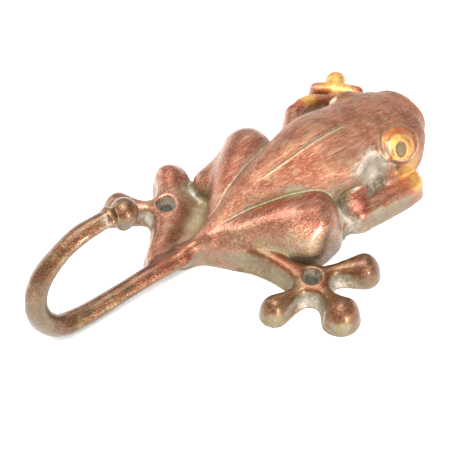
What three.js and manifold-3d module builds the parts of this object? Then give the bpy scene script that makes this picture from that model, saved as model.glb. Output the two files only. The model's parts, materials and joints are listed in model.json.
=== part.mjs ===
// A cast wall hook in the shape of a climbing tree frog, lying on its back face.
//
// Frame: millimetres. +X runs towards the head, which is up when the hook hangs on a wall.
// +Y is the frog's left side. +Z points away from the wall, and z = 0 is the wall's face.
// The casting has draft all round and no undercut, so every limb is a domed top over walls
// that drop straight to the wall face.

import * as THREE from 'three';
import { mergeVertices } from 'three/addons/utils/BufferGeometryUtils.js';
import Module from 'manifold-3d';

const wasm = await Module();
wasm.setup();

// ---------------------------------------------------------------- driving dimensions

const SEAM = 0.3;            // gap between neighbouring castings
const BELOW = -2;            // how far a cutter reaches below the wall face
const ABOVE = 10;            // how far a cutter reaches above what it cuts
const WEB_TOP = 4;           // thickness of the low webs between the limbs

const SCREW_HOLE = 4.5;      // diameter that passes a number 8 wood screw
const SCREW_HEAD = 8.6;      // diameter of the countersink's rim
const SINK_DEPTH = 4.2;      // depth of the countersink's cone
const HUB_TOP = 9.5;         // height of a hind foot round its screw hole

const ROD_RADIUS = 4;        // hook rod
const ROD_BEND_RADIUS = 4.5; // hook rod at the back of its bend, where it is thickest
const ROD_TIP_RADIUS = 3.4;  // hook rod where it meets the ball
const BALL_RADIUS = 5.4;     // ball on the hook's tip

const EYE_RADIUS = 8.6;      // the bulge of an eye
const EYE_SIDE = 12.4;       // distance of an eye from the middle of the head
const EYE_X = 67.6;
const EYE_Z = 20.5;
const EYE_TILT = 50;         // degrees between the way an eye looks and straight off the wall
const PUPIL_RADIUS = 3.6;

const GROOVE_DEPTH = 0.6;    // of the rings round the pupils
const SPINE_HALF_WIDTH = 0.9;

const RIGHT_SCREW = [8, -38];
const LEFT_SCREW = [-18.4, 24.4];

const CAP_ROWS = 4;          // rings in the rounded end of a limb
const LIMB_SIDES = 16;
const TRUNK_SIDES = 32;
const ROD_SIDES = 18;

// ---------------------------------------------------------------- outlines

/** One place along a limb: where it is, half its width, its height, and how much of that is dome. */
const station = (x, y, half, top, crown) => ({ x, y, half, top, crown });

const TRUNK = [
  station(-14, 0, 2.6, 15, 5),
  station(-6, 1.5, 4.2, 20, 8),
  station(3, 3, 7, 25, 11),
  station(12, 3.4, 10, 29.5, 14),
  station(22, 3.2, 13.4, 33, 17),
  station(32, 2.8, 17.2, 35.5, 19),
  station(42, 2.4, 19.4, 36, 19),
  station(52, 1.4, 19, 33.6, 16.5),
  station(61, 0.8, 18.6, 30, 13),
  station(70, 0.8, 16.6, 26, 11),
  station(77, 1, 11.6, 21, 9),
];
const SKULL = [
  station(54, 1.2, 17.6, 32.4, 15),
  station(62, 0.8, 20.6, 32, 13),
  station(70, 1.2, 21.6, 30.8, 12),
  station(77.5, 2.2, 19.4, 29, 11),
  station(83.6, 3.6, 14.2, 26.8, 10),
];
const CHIN_Z = 9;            // the skull stands this far off the wall, over the narrower jaw
const SNOUT_REACH = 0.5;     // how far the snout's end reaches, as a share of its half width

/** The hollow in the trunk's back. */
const HOLLOW = [
  station(24, 3.5, 6, 25, 7),
  station(38, 4.5, 7.5, 29, 9),
  station(52, 4.5, 8, 27, 9),
  station(63, 2.5, 11, 25, 9),
  station(71, 1.5, 11, 22, 7),
];

/** The hollows in the flanks, behind each cheek and round the right upper arm. */
const FLANK_HOLLOWS = [
  { centre: [54, -22.4, 21], halfSizes: [6, 8.4, 12] },
  { centre: [54.5, 25.5, 15], halfSizes: [5.5, 7, 13] },
  { centre: [44.5, -22.5, 9], halfSizes: [9, 9.5, 10] },
];

const RIGHT_THIGH = [
  station(-23, 2.2, 2.6, 10.6, 5),
  station(-14, -1, 3.7, 14.5, 7),
  station(-5, -6, 6, 18.5, 9),
  station(4, -10, 7.4, 22, 11),
  station(13, -14.5, 9, 24.5, 12),
  station(23, -18, 10.6, 24, 12),
];
const RIGHT_SHIN = [
  station(-4, -9, 4, 9.5, 4),
  station(6, -18, 5, 10, 4),
  station(16, -24.5, 6.5, 11, 5),
];
const RIGHT_INSTEP = [
  station(-10.5, -6, 3.2, 9.5, 4),
  station(-5, -13.4, 4.2, 11.5, 5.5),
  station(0, -21.5, 4.3, 11.5, 5.5),
  station(4, -30, 4.9, 10.5, 5),
  station(7, -36, 6.4, HUB_TOP, 4),
];
const RIGHT_TOES = [
  [station(8, -38, 6, 9, 4), station(-1, -39.6, 3.8, 8.5, 4), station(-10.8, -39.4, 5.8, 11, 5.8)],
  [station(8, -38, 6, 9, 4), station(8.6, -47, 4, 8.5, 4), station(8.6, -55.4, 8, 12.5, 8)],
  [station(8, -38, 6, 9, 4), station(18, -40.8, 3.9, 8.5, 4), station(28.8, -44, 6.8, 11.5, 6.8)],
];

const LEFT_THIGH = [
  station(-14, -0.5, 3.5, 12, 6),
  station(-6, 5, 5.5, 16.5, 8),
  station(3, 12, 7.6, 20.5, 10),
  station(12, 19, 9.2, 22.5, 11),
  station(22, 25.4, 10.6, 23, 11),
];
const LEFT_SHIN = [
  station(20, 27, 7, 14, 6),
  station(10, 26.4, 5.6, 14.5, 6),
  station(1.5, 24.4, 5.8, 14, 6),
];
const LEFT_HUB = [
  station(-18.4, 24.4, 7, HUB_TOP, 4),
  station(-17.4, 24.6, 7, HUB_TOP, 4),
];
const LEFT_TOES = [
  [station(-18.4, 24.4, 6, 9, 4), station(-12.4, 31.4, 5.2, 9.5, 4), station(-8.2, 37.8, 6.4, 11, 6.4)],
  [station(-18.4, 24.4, 6, 9, 4), station(-26, 30.4, 3.6, 8.5, 4), station(-33, 36.6, 7, 11.5, 7)],
  [station(-19.4, 22, 5, 9, 4), station(-27.4, 14.8, 3.8, 9, 4), station(-36, 7.2, 3.4, 8.5, 4)],
];
const LEFT_WEB = [
  [-36, 5], [-24, 14], [-16, 26], [-8, 40], [-3, 40], [-2, 31], [2, 24], [-8, 8], [-14, 2], [-26, 2],
];

const RIGHT_UPPER_ARM = [
  station(50, -12.5, 4.8, 20, 8),
  station(47.8, -14.5, 5, 18.5, 8),
  station(46.2, -17.5, 5.2, 16, 7),
  station(44.6, -21, 5, 12, 5),
];
const RIGHT_FOREARM = [
  station(44.5, -21.6, 5.2, 12, 6),
  station(54, -22.4, 4.9, 11.5, 5),
  station(64, -22.4, 5, 11.5, 5),
  station(70.5, -21.6, 5.2, 11, 5),
];
const RIGHT_WEB = [[20, -22], [28, -26.5], [35, -24.4], [41, -24.8], [47, -22], [50, -8], [30, -8]];

const LEFT_UPPER_ARM = [
  station(43, 21, 4.6, 14, 6),
  station(46.6, 27.4, 4.2, 12.5, 5),
  station(52.4, 33, 4.2, 12, 5),
];
const LEFT_FOREARM = [
  station(52.4, 33, 4.2, 12, 5),
  station(62, 36.2, 4.4, 12, 5),
  station(72, 34, 2.6, 10.5, 4),
];
const LEFT_WEB_OF_ARM = [[44, 18], [48, 30], [56, 36], [68, 35], [76, 30], [74, 16], [58, 14]];
const LEFT_HAND = [
  [station(71.3, 43.8, 2.8, 7.5, 2.8), station(78.1, 39.2, 2.9, 7.5, 2.9), station(84.5, 31.8, 3.2, 7.5, 3.2)],
  [station(78.1, 38.4, 3.4, 7.5, 3.4), station(81.7, 42.2, 4, 8, 4)],
  [station(70, 34, 3, 8, 4), station(79, 35.4, 3.4, 6.4, 3)],
];

/** The hook's centre line, in the plane y = 0, from its root to its tip, with the rod's radius. */
const HOOK_LINE = [
  [-27.5, 6.4, ROD_RADIUS],
  [-40, 6.8, ROD_RADIUS],
  [-56, 6.2, ROD_RADIUS],
  [-72, 5.8, ROD_RADIUS],
  [-83.6, 8.6, ROD_BEND_RADIUS],
  [-89.4, 17, ROD_BEND_RADIUS],
  [-90.4, 28, ROD_BEND_RADIUS],
  [-87, 38.6, ROD_BEND_RADIUS],
  [-79, 47, ROD_RADIUS],
  [-69.4, 52, ROD_RADIUS],
  [-59.5, 54, ROD_TIP_RADIUS],
];
const BALL_CENTRE = [-52, 0, 53];

/** The crease down the back: x, y and the height of its bottom. */
const SPINE = [
  [10, 1.4, 27.2],
  [24.4, -0.2, 32.3],
  [38.7, -0.4, 34.9],
  [52, 0.6, 32.8],
];

// ---------------------------------------------------------------- solids

/** A closed three.js geometry as a solid that can be joined and cut. */
function solidOf(geometry) {
  geometry.deleteAttribute('normal');
  geometry.deleteAttribute('uv');
  const merged = mergeVertices(geometry);
  const corners = merged.index.array;
  const triangles = [];
  for (let i = 0; i < corners.length; i += 3) {
    const [a, b, c] = corners.subarray(i, i + 3);
    if (a !== b && b !== c && c !== a) triangles.push(a, b, c);
  }
  const mesh = new wasm.Mesh({
    numProp: 3,
    vertProperties: new Float32Array(merged.attributes.position.array),
    triVerts: new Uint32Array(triangles),
  });
  return new wasm.Manifold(mesh);
}

/** A solid as a three.js geometry with flat-shaded faces. */
function geometryOf(solid) {
  const mesh = solid.getMesh();
  const geometry = new THREE.BufferGeometry();
  geometry.setAttribute('position', new THREE.BufferAttribute(new Float32Array(mesh.vertProperties), 3));
  geometry.setIndex(new THREE.BufferAttribute(new Uint32Array(mesh.triVerts), 1));
  geometry.computeVertexNormals();
  return geometry;
}

const joined = (solids) => solids.reduce((whole, solid) => whole.add(solid));

const without = (solid, cutters) => cutters.reduce((rest, cutter) => rest.subtract(cutter), solid);

/**
 * A capsule whose every vertex is put somewhere else by place(), which gets how far along the
 * capsule the vertex is (0 to 1), how far past that end it reaches (-1 to 1), how wide its ring
 * is (1, falling to 0 at either tip), and its angle round the ring.
 */
function bentCapsule(sides, rows, place) {
  const capsule = new THREE.CapsuleGeometry(1, 1, CAP_ROWS, sides, rows);
  const position = capsule.attributes.position;
  const vertex = new THREE.Vector3();
  for (let i = 0; i < position.count; i += 1) {
    vertex.fromBufferAttribute(position, i);
    const within = THREE.MathUtils.clamp(vertex.y, -0.5, 0.5);
    const angle = (((i % (sides + 1)) % sides) / sides) * 2 * Math.PI;
    const ring = Math.hypot(vertex.x, vertex.z);
    const moved = place(within + 0.5, vertex.y - within, ring < 1e-6 ? 0 : ring, angle);
    position.setXYZ(i, moved.x, moved.y, moved.z);
  }
  return solidOf(capsule);
}

/** A limb with a flat back: a dome over straight walls, following its stations, with round ends. */
function limb(stations, { grow = 0, floor = 0, sides = LIMB_SIDES, rows = 4, reach = 1 } = {}) {
  const route = new THREE.CatmullRomCurve3(stations.map((s) => new THREE.Vector3(s.x, s.y, 0)));
  const sizes = new THREE.CatmullRomCurve3(stations.map((s) => new THREE.Vector3(s.half, s.top, s.crown)));
  return bentCapsule(sides, rows * (stations.length - 1), (along, past, ring, angle) => {
    const centre = route.getPoint(along);
    const tangent = route.getTangent(along);
    const { x: half, y: top, z: crown } = sizes.getPoint(along);
    const width = half + grow;
    const spring = top - crown;
    const up = Math.sin(angle);
    const side = -Math.cos(angle);
    const squareness = up < 0 ? 1 / Math.max(Math.abs(up), Math.abs(side)) : 1;
    const lateral = side * squareness * width * ring;
    const endReach = past * width * (along > 0.5 ? reach : 1);
    return new THREE.Vector3(
      centre.x + tangent.x * endReach + tangent.y * lateral,
      centre.y + tangent.y * endReach - tangent.x * lateral,
      up < 0 ? spring + (spring - floor) * up * squareness : spring + up * (crown + grow) * ring,
    );
  });
}

/** A round rod along points of the plane y = 0, each given as x, z and the radius there. */
function rod(points, grow = 0) {
  const route = new THREE.CatmullRomCurve3(points.map(([x, z]) => new THREE.Vector3(x, 0, z)));
  const radii = new THREE.CatmullRomCurve3(points.map(([, , radius], i) => new THREE.Vector3(i, radius, 0)));
  return bentCapsule(ROD_SIDES, 3 * (points.length - 1), (along, past, ring, angle) => {
    const centre = route.getPoint(along);
    const tangent = route.getTangent(along);
    const radius = radii.getPoint(along).y + grow;
    const normal = Math.sin(angle) * ring * radius;
    return new THREE.Vector3(
      centre.x + tangent.x * past * radius - tangent.z * normal,
      Math.cos(angle) * ring * radius,
      centre.z + tangent.z * past * radius + tangent.x * normal,
    );
  });
}

/** A low plate of the given outline, flat on the wall face. */
function plate(outline, top) {
  const shape = new THREE.Shape(outline.map(([x, y]) => new THREE.Vector2(x, y)));
  return solidOf(new THREE.ExtrudeGeometry(shape, { depth: top, bevelEnabled: false }));
}

/** An ellipsoid at a point, with its three half sizes. */
function ellipsoid(centre, halfSizes, sides = 16) {
  const sphere = new THREE.SphereGeometry(1, sides, sides / 2);
  sphere.scale(...halfSizes);
  sphere.translate(...centre);
  return solidOf(sphere);
}

/** The empty space of a countersunk screw hole. */
function screwSpace([x, y]) {
  const profile = [
    new THREE.Vector2(0, BELOW),
    new THREE.Vector2(SCREW_HOLE / 2, BELOW),
    new THREE.Vector2(SCREW_HOLE / 2, HUB_TOP - SINK_DEPTH),
    new THREE.Vector2(SCREW_HEAD / 2, HUB_TOP),
    new THREE.Vector2(SCREW_HEAD / 2, HUB_TOP * 2),
    new THREE.Vector2(0, HUB_TOP * 2),
  ];
  const funnel = new THREE.LatheGeometry(profile, 24);
  funnel.rotateX(Math.PI / 2);
  funnel.translate(x, y, 0);
  return solidOf(funnel);
}

// ---------------------------------------------------------------- the castings

/** The trunk and head without the hollow in their back. */
function trunkForm(grow = 0, floor = 0) {
  const body = limb(TRUNK, { grow, floor, sides: TRUNK_SIDES, rows: 3 });
  const skull = limb(SKULL, { grow, floor: CHIN_Z - grow, sides: TRUNK_SIDES, rows: 3, reach: SNOUT_REACH });
  const eyes = [-1, 1].map((side) => {
    const centre = [EYE_X, side * EYE_SIDE, EYE_Z];
    return ellipsoid(centre, Array(3).fill(EYE_RADIUS + grow), 20);
  });
  return joined([body, skull, ...eyes]);
}

function rightLegForm(options) {
  return joined([limb(RIGHT_THIGH, options), limb(RIGHT_SHIN, options)]);
}

function leftLegForm(options) {
  return joined([limb(LEFT_THIGH, options), limb(LEFT_SHIN, options)]);
}

function rightForelegForm(options) {
  return joined([limb(RIGHT_UPPER_ARM, options), limb(RIGHT_FOREARM, options)]);
}

function leftForelegForm(options) {
  const parts = [LEFT_UPPER_ARM, LEFT_FOREARM, ...LEFT_HAND];
  return joined(parts.map((stations) => limb(stations, options)));
}

/** The crease down the middle of the back, as the space it takes away: a strip less what lies under it. */
function spineCrease() {
  const strip = (half, above) => SPINE.map(([x, y, z]) => station(x, y, half, z + above, above + 1));
  const under = limb(strip(3 * SPINE_HALF_WIDTH, 0), { floor: BELOW, sides: 8 });
  return limb(strip(SPINE_HALF_WIDTH, ABOVE), { floor: CHIN_Z, sides: 8 }).subtract(under);
}

function trunkShell() {
  const hollows = FLANK_HOLLOWS.map(({ centre, halfSizes }) => ellipsoid(centre, halfSizes));
  const web = plate(RIGHT_WEB, WEB_TOP * 2);
  return without(without(trunkForm(), hollows).add(web), [
    limb(HOLLOW, { floor: BELOW, sides: 16, rows: 2 }),
    rightLegForm({ grow: SEAM, floor: BELOW }),
    rightForelegForm({ grow: SEAM, floor: BELOW }),
    spineCrease(),
    ...eyeCreases(),
  ]);
}

/** The ring-shaped groove round each pupil. */
function eyeCreases() {
  return [-1, 1].map((side) => {
    const groove = new THREE.TorusGeometry(PUPIL_RADIUS, GROOVE_DEPTH, 8, 24);
    groove.translate(0, 0, Math.sqrt(EYE_RADIUS ** 2 - PUPIL_RADIUS ** 2));
    groove.rotateX(-side * THREE.MathUtils.degToRad(EYE_TILT));
    groove.translate(EYE_X, side * EYE_SIDE, EYE_Z);
    return solidOf(groove);
  });
}

function rightHindLeg() {
  return without(rightLegForm(), [trunkForm(SEAM, BELOW)]);
}

function leftHindLeg() {
  return without(leftLegForm(), [trunkForm(SEAM, BELOW), rightLegForm({ grow: SEAM, floor: BELOW })]);
}

function rightHindFoot() {
  const parts = [RIGHT_INSTEP, ...RIGHT_TOES].map((stations) => limb(stations));
  return without(joined(parts), [rightLegForm({ grow: SEAM, floor: BELOW }), screwSpace(RIGHT_SCREW)]);
}

function leftHindFoot() {
  const parts = [LEFT_HUB, ...LEFT_TOES].map((stations) => limb(stations));
  const web = plate(LEFT_WEB, WEB_TOP);
  const neighbours = [
    trunkForm(SEAM, BELOW),
    leftLegForm({ grow: SEAM, floor: BELOW }),
    rightLegForm({ grow: SEAM, floor: BELOW }),
    rod(HOOK_LINE, SEAM),
  ];
  return without(joined([...parts, web]), [...neighbours, screwSpace(LEFT_SCREW)]);
}

function rightForeleg() {
  return rightForelegForm();
}

function leftForeleg() {
  const web = plate(LEFT_WEB_OF_ARM, WEB_TOP);
  return without(leftForelegForm().add(web), [trunkForm(SEAM, BELOW)]);
}

function hookRod() {
  return without(rod(HOOK_LINE), [rightLegForm({ grow: SEAM, floor: BELOW })]);
}

/** The ball on the hook's tip, with a socket for the rod's end. */
function hookBall() {
  const ball = ellipsoid(BALL_CENTRE, Array(3).fill(BALL_RADIUS), 20);
  return without(ball, [rod(HOOK_LINE, SEAM)]);
}

// ---------------------------------------------------------------- the assembly

const RED_COPPER = new THREE.MeshStandardMaterial({ color: 0x9c5340, roughness: 0.42, metalness: 0.85 });
const BROWN_BRONZE = new THREE.MeshStandardMaterial({ color: 0x7a5235, roughness: 0.4, metalness: 0.85 });
const GOLD_ORANGE = new THREE.MeshStandardMaterial({ color: 0xb8703a, roughness: 0.36, metalness: 0.85 });

function named(name, solid, material) {
  const mesh = new THREE.Mesh(geometryOf(solid), material.clone());
  mesh.name = name;
  return mesh;
}

const frog = new THREE.Group();
frog.add(
  named('trunk_shell', trunkShell(), RED_COPPER),
  named('right_hind_leg', rightHindLeg(), RED_COPPER),
  named('left_hind_leg', leftHindLeg(), RED_COPPER),
  named('right_hind_foot', rightHindFoot(), RED_COPPER),
  named('left_hind_foot', leftHindFoot(), RED_COPPER),
  named('right_foreleg', rightForeleg(), GOLD_ORANGE),
  named('left_foreleg', leftForeleg(), GOLD_ORANGE),
  named('hook_rod', hookRod(), BROWN_BRONZE),
  named('hook_ball', hookBall(), BROWN_BRONZE),
);

// The part's origin is the middle of its footprint, on the wall face.
const extent = new THREE.Box3().setFromObject(frog);
const middle = extent.getCenter(new THREE.Vector3());
frog.position.set(-middle.x, -middle.y, 0);

const wallHook = new THREE.Group();
wallHook.add(frog);

export default wallHook;
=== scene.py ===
"""A cast frog wall hook with a worn copper patina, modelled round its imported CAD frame.

The frog is one implicit surface: every limb is a dome over walls that drop to the wall face, limbs run
into each other with soft fillets, and each casting is the part of that surface nearest its own limbs.
Lengths are millimetres in the frog's own axes (x to the head, y to its left, z off the wall) until the
meshes are made, where they are moved and scaled onto the CAD frame.
"""
import json
import math
from collections import namedtuple

import bpy
import numpy as np
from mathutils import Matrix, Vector


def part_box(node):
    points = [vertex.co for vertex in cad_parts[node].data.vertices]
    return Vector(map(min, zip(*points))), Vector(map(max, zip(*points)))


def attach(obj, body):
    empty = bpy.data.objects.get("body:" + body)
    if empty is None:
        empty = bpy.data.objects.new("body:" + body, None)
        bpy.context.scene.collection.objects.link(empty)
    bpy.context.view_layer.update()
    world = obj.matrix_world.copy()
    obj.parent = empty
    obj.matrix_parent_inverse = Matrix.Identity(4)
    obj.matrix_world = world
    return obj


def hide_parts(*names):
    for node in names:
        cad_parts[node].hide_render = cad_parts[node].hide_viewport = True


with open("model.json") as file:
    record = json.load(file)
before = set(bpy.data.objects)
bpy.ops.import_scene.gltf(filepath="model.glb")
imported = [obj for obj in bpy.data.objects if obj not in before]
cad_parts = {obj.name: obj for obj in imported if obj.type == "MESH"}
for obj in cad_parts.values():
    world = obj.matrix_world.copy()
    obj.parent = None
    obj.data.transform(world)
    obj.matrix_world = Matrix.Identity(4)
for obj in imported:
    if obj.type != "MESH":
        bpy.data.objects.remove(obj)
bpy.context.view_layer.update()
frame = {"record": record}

# ---------------------------------------------------------------- the frame

MM = 0.001
FRAME_MOUNTS = {mount["name"]: mount for mount in frame["record"]["mounts"]}
RIGHT_SCREW = (8.0, -38.0)       # the right foot's screw hole, in the frog's axes
LEFT_SCREW = (-18.4, 24.4)
MOUNT_BESIDE_HOLE = -4.5         # the right foot's mount lies this far along x from its hole

mount_at = np.array(FRAME_MOUNTS["right_foot_back"]["pos_m"]) / MM
SHIFT = mount_at - np.array([RIGHT_SCREW[0] + MOUNT_BESIDE_HOLE, RIGHT_SCREW[1], 0.0])

# ---------------------------------------------------------------- outlines
# A station is (x, y, half width, height, how much of the height is dome).

TRUNK = [
    (-14, 0, 2.6, 15, 5), (-6, 1.5, 4.2, 20, 8), (3, 3, 7, 25, 11), (12, 3.4, 10, 29.5, 14),
    (22, 3.2, 13.4, 33, 17), (32, 2.8, 17.2, 35.5, 19), (42, 2.4, 19.4, 36, 19), (52, 1.4, 19, 33.6, 16.5),
    (61, 0.8, 18.6, 30, 13), (70, 0.8, 16.6, 26, 11), (77, 1, 11.6, 21, 9),
]
SKULL = [
    (54, 1.2, 17.6, 32.4, 15), (62, 0.8, 20.6, 32, 13), (70, 1.2, 21.6, 30.8, 12),
    (77.5, 2.7, 18.6, 28.6, 11), (83.2, 4.2, 13.4, 26.4, 10),
]
CHIN_Z = 9.0                         # the skull stands this far off the wall, over the narrower jaw
SNOUT_REACH = 0.5                    # how far the snout's end reaches, as a share of its half width
HOLLOW = [
    (24, 3.5, 6, 25, 7), (38, 4.5, 7.5, 29, 9), (52, 4.5, 8, 27, 9),
    (63, 2.5, 11, 25, 9), (71, 1.5, 11, 22, 7),
]
EYE_RADIUS = 8.6
EYEBALLS = [(67.6, -12.4, 20.5), (68, 11, 18.5)]
# Each eye: the middle of its pupil, and the directions from there toward the snout and toward the crown.
RIGHT_EYE = ((66.1, -18.2, 26.5), (0.819, -0.574, 0.0), (0.446, 0.636, 0.629))
LEFT_EYE = ((66.5, 19.2, 19.9), (0.819, 0.464, -0.338), (0.446, -0.145, 0.883))
# Inside an eye, in millimetres toward the snout and above the pupil's middle. An oval: middle, half sizes.
ORBIT_CENTRE = (-0.8, 3.1)
BOSS = ((0, 0.6), (5.0, 5.4))
PUPIL = ((0, 0), (1.9, 2.9))
TEAR_PIT = ((-2.0, -7.6), (1.7, 3.2))
ORBIT_GROOVE, BROW, BROW_HIGHLIGHT, BROW_SHADE = 7.0, 8.4, 8.3, 7.3    # radii round the orbit's middle: its groove, its brow, a highlight painted along the brow, and shade painted under it
RING = 0.82                          # a groove on the boss, as a share of its half sizes
LOWER_LID, HIGHLIGHT_STRIP = -5.4, -5.2        # the lid's groove below the pupil, and the highlight painted as a strip behind it
EYE_REACH = 13                       # an eye's carving is worked out this far round it
# Hollows behind the cheeks and round the right upper arm: their middles and half sizes.
NECK_HOLLOWS = [((54, -22.4, 21), (6, 8.4, 12)), ((54.5, 25.5, 15), (5.5, 7, 13))]
ARM_HOLLOWS = [((43, -22.5, 9), (9.5, 9.5, 10)), ((56.2, -19, 12.5), (2.4, 3, 4))]
SPINE = [(8, 1.6), (16, 0.5), (27, -0.3), (38.7, -0.4), (47, 0.1), (56, 0.9)]
SPINE_DEPTH, SPINE_LIP = 0.8, 0.3
# How far left of the spine's line its groove, its lip and the highlight painted along the lip lie, and how
# wide each is.
SPINE_GROOVE_AT, SPINE_LIP_AT, SPINE_HIGHLIGHT_AT = (0.3, 0.9), (-1.3, 0.8), (-0.9, 0.5)
SPINE_FADE = 0.15                    # the share of its length over which the groove fades in and out
BACK_Z, BACK_FADE = 20, 5            # the groove is cut only above this height, and fully 5 mm above it

RIGHT_THIGH = [
    (-25, 1.8, 3.2, 10.4, 5), (-14, -1, 3.8, 14.5, 7), (-5, -6, 6, 18.5, 9),
    (4, -10, 7.4, 22, 11), (13, -14.5, 9, 24.5, 12), (23, -18, 10.6, 24, 12),
]
RIGHT_SHIN = [(-4, -9, 4, 9.5, 4), (6, -17.4, 5, 11, 5), (15.5, -23, 6.4, 12, 8)]
RIGHT_INSTEP = [
    (-10, -5.6, 2.2, 9.5, 3), (-4.6, -13, 2.8, 11.5, 4), (0.4, -21.2, 2.9, 11.5, 4),
    (4.2, -29.8, 3.6, 10.5, 4), (7, -36, 6, 9.5, 3.5),
]
RIGHT_TOES = [
    [(8, -38, 6.2, 9.5, 3.5), (-1, -39.2, 2.4, 8.8, 3), (-10.8, -39.4, 5.8, 11, 9.5)],
    [(8, -38, 6.2, 9.5, 3.5), (8.8, -47.2, 2.6, 8.8, 3), (8.6, -55.4, 8, 12.5, 11)],
    [(8, -38, 6.2, 9.5, 3.5), (17.8, -39, 2.6, 8.8, 3), (28.8, -44, 6.8, 11.5, 10)],
]

LEFT_THIGH = [
    (-14, -0.5, 3.5, 12, 6), (-6, 5, 5.5, 16.5, 8), (3, 12, 7.6, 20.5, 10),
    (12, 19, 9.2, 22.5, 11), (22, 25.4, 10.6, 23, 11),
]
LEFT_SHIN = [(20, 27, 7, 14, 6), (10, 26.4, 5.6, 14.5, 6), (1.5, 24.4, 5.8, 14, 6)]
LEFT_HUB = [(-18.4, 24.4, 6.8, 9.5, 3.5), (-13.4, 26.4, 6, 8.6, 4)]
LEFT_TOES = [
    [(-18.4, 24.4, 5.6, 9.5, 4), (-12.4, 31.4, 5, 9.8, 4), (-8.2, 37.8, 6.2, 11, 8)],
    [(-18.4, 24.4, 5, 9.5, 3), (-26, 30.4, 3, 8.8, 3), (-33, 36.6, 7, 11.5, 10)],
    [(-18.4, 22, 6, 9.5, 4), (-26.2, 14.4, 4.2, 9, 4), (-35, 6.8, 3.6, 8.8, 4)],
]
LEFT_WEB = [
    (-36, 5), (-24, 14), (-16, 26), (-8, 40), (-3, 40), (-2, 31), (2, 24), (-8, 8), (-14, 2), (-26, 2),
]

RIGHT_UPPER_ARM = [
    (48.4, -10, 5.6, 20, 8), (46.6, -13.5, 6.2, 18.5, 8), (44.8, -17, 6.4, 16, 7), (43.4, -21, 5.8, 12, 5),
]
RIGHT_FOREARM = [
    (44.5, -21.6, 5.2, 12, 6), (54, -22.4, 4.9, 11.5, 5), (64, -22.4, 5, 11.5, 5), (70.5, -21.6, 5.2, 11, 5),
]
RIGHT_WEB = [(20, -22), (28, -26.5), (35, -24.4), (41, -24.8), (47, -22), (50, -8), (30, -8)]

LEFT_UPPER_ARM = [(43, 21, 4.6, 14, 6), (47, 28.4, 4, 12.5, 5), (53, 35, 3.8, 12, 5)]
LEFT_FOREARM = [(53, 35, 3.8, 12, 5), (61.5, 37, 3, 11.5, 4), (72.6, 33.9, 1.8, 8.6, 3)]
LEFT_ARM_WEB = [(44, 18), (48, 30), (56, 36), (68, 35), (76, 30), (74, 16), (58, 14)]
LEFT_HAND = [
    [(71.3, 43.8, 2.8, 7.5, 2.8), (78.1, 39.2, 2.9, 7.5, 2.9), (84.5, 31.8, 3.2, 7.5, 3.2)],
    [(78.1, 38.4, 3.4, 7.5, 3.4), (81.4, 42.8, 4.6, 8.4, 4.4)],
    [(70, 34, 3, 8, 4), (79, 35.4, 3.4, 6.4, 3)],
]

# The hook's centre line in the plane y = 0: x, z and the rod's radius.
HOOK_LINE = [
    (-27.5, 6.2, 3.7), (-40, 6.6, 4), (-56, 5.2, 4.1), (-72, 4.2, 4.4), (-83, 6.6, 4.8), (-89.2, 15.6, 4.6),
    (-90.4, 27.4, 4.5), (-87, 38.6, 4.5), (-79, 47, 4), (-69.4, 52, 4), (-57, 53.4, 3.6),
]
# The collar under the ball, the egg-shaped ball and the nib at its foot: middles and half sizes.
COLLAR = ((-57, 0, 53.2), (1.8, 4.3, 4.3))
BALL = ((-50.6, 0, 51.6), (5.3, 5.2, 5.9))
BALL_NIB = ((-52.2, -1.2, 46.6), (1.8, 1.8, 1.8))

# ---------------------------------------------------------------- sizes of the fine shape

STEP = 0.5    # grid spacing
FAR = 40.0                           # the field where a limb doesn't reach
REACH = 8.0                          # how far past its own walls a limb's field is worked out
PLAN_BLUR = 1.0                      # evens out a limb's sizes along its line
FLARE, FOOT_FLARE = 0.16, 0.42       # how far walls spread on their way down, as a share of their height
LOW_WALL = 5.5                       # walls higher than this spread no further
OVERLAP, SINK = 0.7, 0.6             # a casting runs on this far under its neighbour, sinking this steeply
CREASE_WIDTH = 0.6                   # of the groove where two castings meet
CREASE_REACH = 0.75                  # how far off the surface it is cut, as a share of the fillet
SCREW_RADIUS, SINK_RADIUS, SINK_DEPTH, HUB_TOP = 2.25, 4.2, 4.2, 9.5
RIM_HIGHLIGHT, RIM_WIDTH = 0.45, 0.6  # of the highlights painted on the rims of the screw holes
HOLE_CHALK = 0.6                     # how chalky the inside of a screw hole is
DEEPEST_SHADE = 1.6                  # at the bottom of a screw hole
LOW_GRIME = 3.0                      # up to this height the foot of a wall is dirty
RIGHT_WEB_TOP, LEFT_WEB_TOP, ARM_WEB_TOP = 6.8, 4.42, 3.4
CAMERA_AZIMUTH, CAMERA_ELEVATION = -35, 51
CAMERA_TARGET = (5, 7.5, 10)
CAMERA_DISTANCE = 0.6                # metres
CAMERA_SHIFT = (-0.02889, -0.04889)  # slides the frog off the picture's middle
GRID_MARGIN = 7.0                    # how far a casting's grid reaches past its CAD box
REFINEMENTS = 2                      # how often the mesh's points are moved onto the surface
ROD_POWER = 1.6                      # below 2 the rod's section has soft edges

# Fillets, where one part of a casting runs into the rest of it.
FIRST = 0.5                          # a casting's first limb, which meets nothing yet
SKULL_FILLET, CHIN_FILLET, EYE_FILLET = 4.0, 3.0, 1.2
RIGHT_WEB_FILLET, LEFT_WEB_FILLET, ARM_WEB_FILLET, WEB_EDGE = 2.5, 6.0, 2.0, 1.0
RIGHT_SHIN_FILLET, LEFT_SHIN_FILLET, TOE_FILLET = 9.0, 4.0, 2.0
ELBOW_FILLET, FINGER_FILLET = 1.5, 1.0
COLLAR_FILLET, NIB_FILLET = 1.5, 4.0
NECK_EDGE, ARM_EDGE, HOLLOW_EDGE, HOLE_EDGE, BETWEEN_HOLLOWS = 3.5, 1.2, 1.5, 0.8, 1.0

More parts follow.
